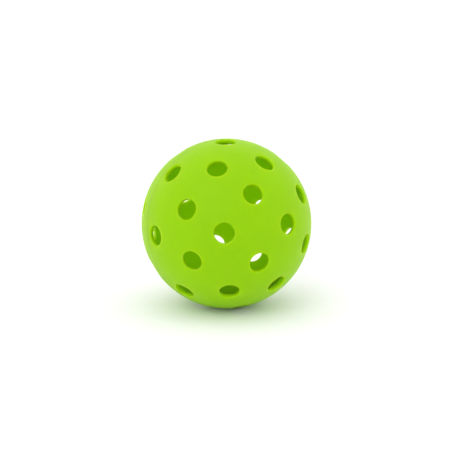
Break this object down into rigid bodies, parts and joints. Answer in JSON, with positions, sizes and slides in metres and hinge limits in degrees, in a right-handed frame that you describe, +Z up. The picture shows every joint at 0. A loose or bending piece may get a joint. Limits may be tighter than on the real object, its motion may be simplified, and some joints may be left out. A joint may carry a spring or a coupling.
{
  "type": "pickleball ball",
  "caption": "Hollow perforated plastic ball of two identical half shells spin welded at their rims, with round air holes in rings about each half's pole.",
  "frame": {"origin": "centre of the ball", "axes": "+Z up from the surface that the ball rests on. -Y is the side that a viewer in front sees; the halves' common axis leans 82.4 degrees from +Z, towards -Y and a little towards +X."},
  "size_m": [0.074, 0.0738, 0.0739],
  "materials": {
    "shell_plastic": "satin moulded polyethylene, lime green right through",
    "weld_bead_plastic": "remelted polyethylene, a little glossier than the moulded wall"
  },
  "bodies": {
    "root": {"front_half_shell": "shell_plastic", "rear_half_shell": "shell_plastic", "weld_bead": "weld_bead_plastic"}
  },
  "joints": []
}
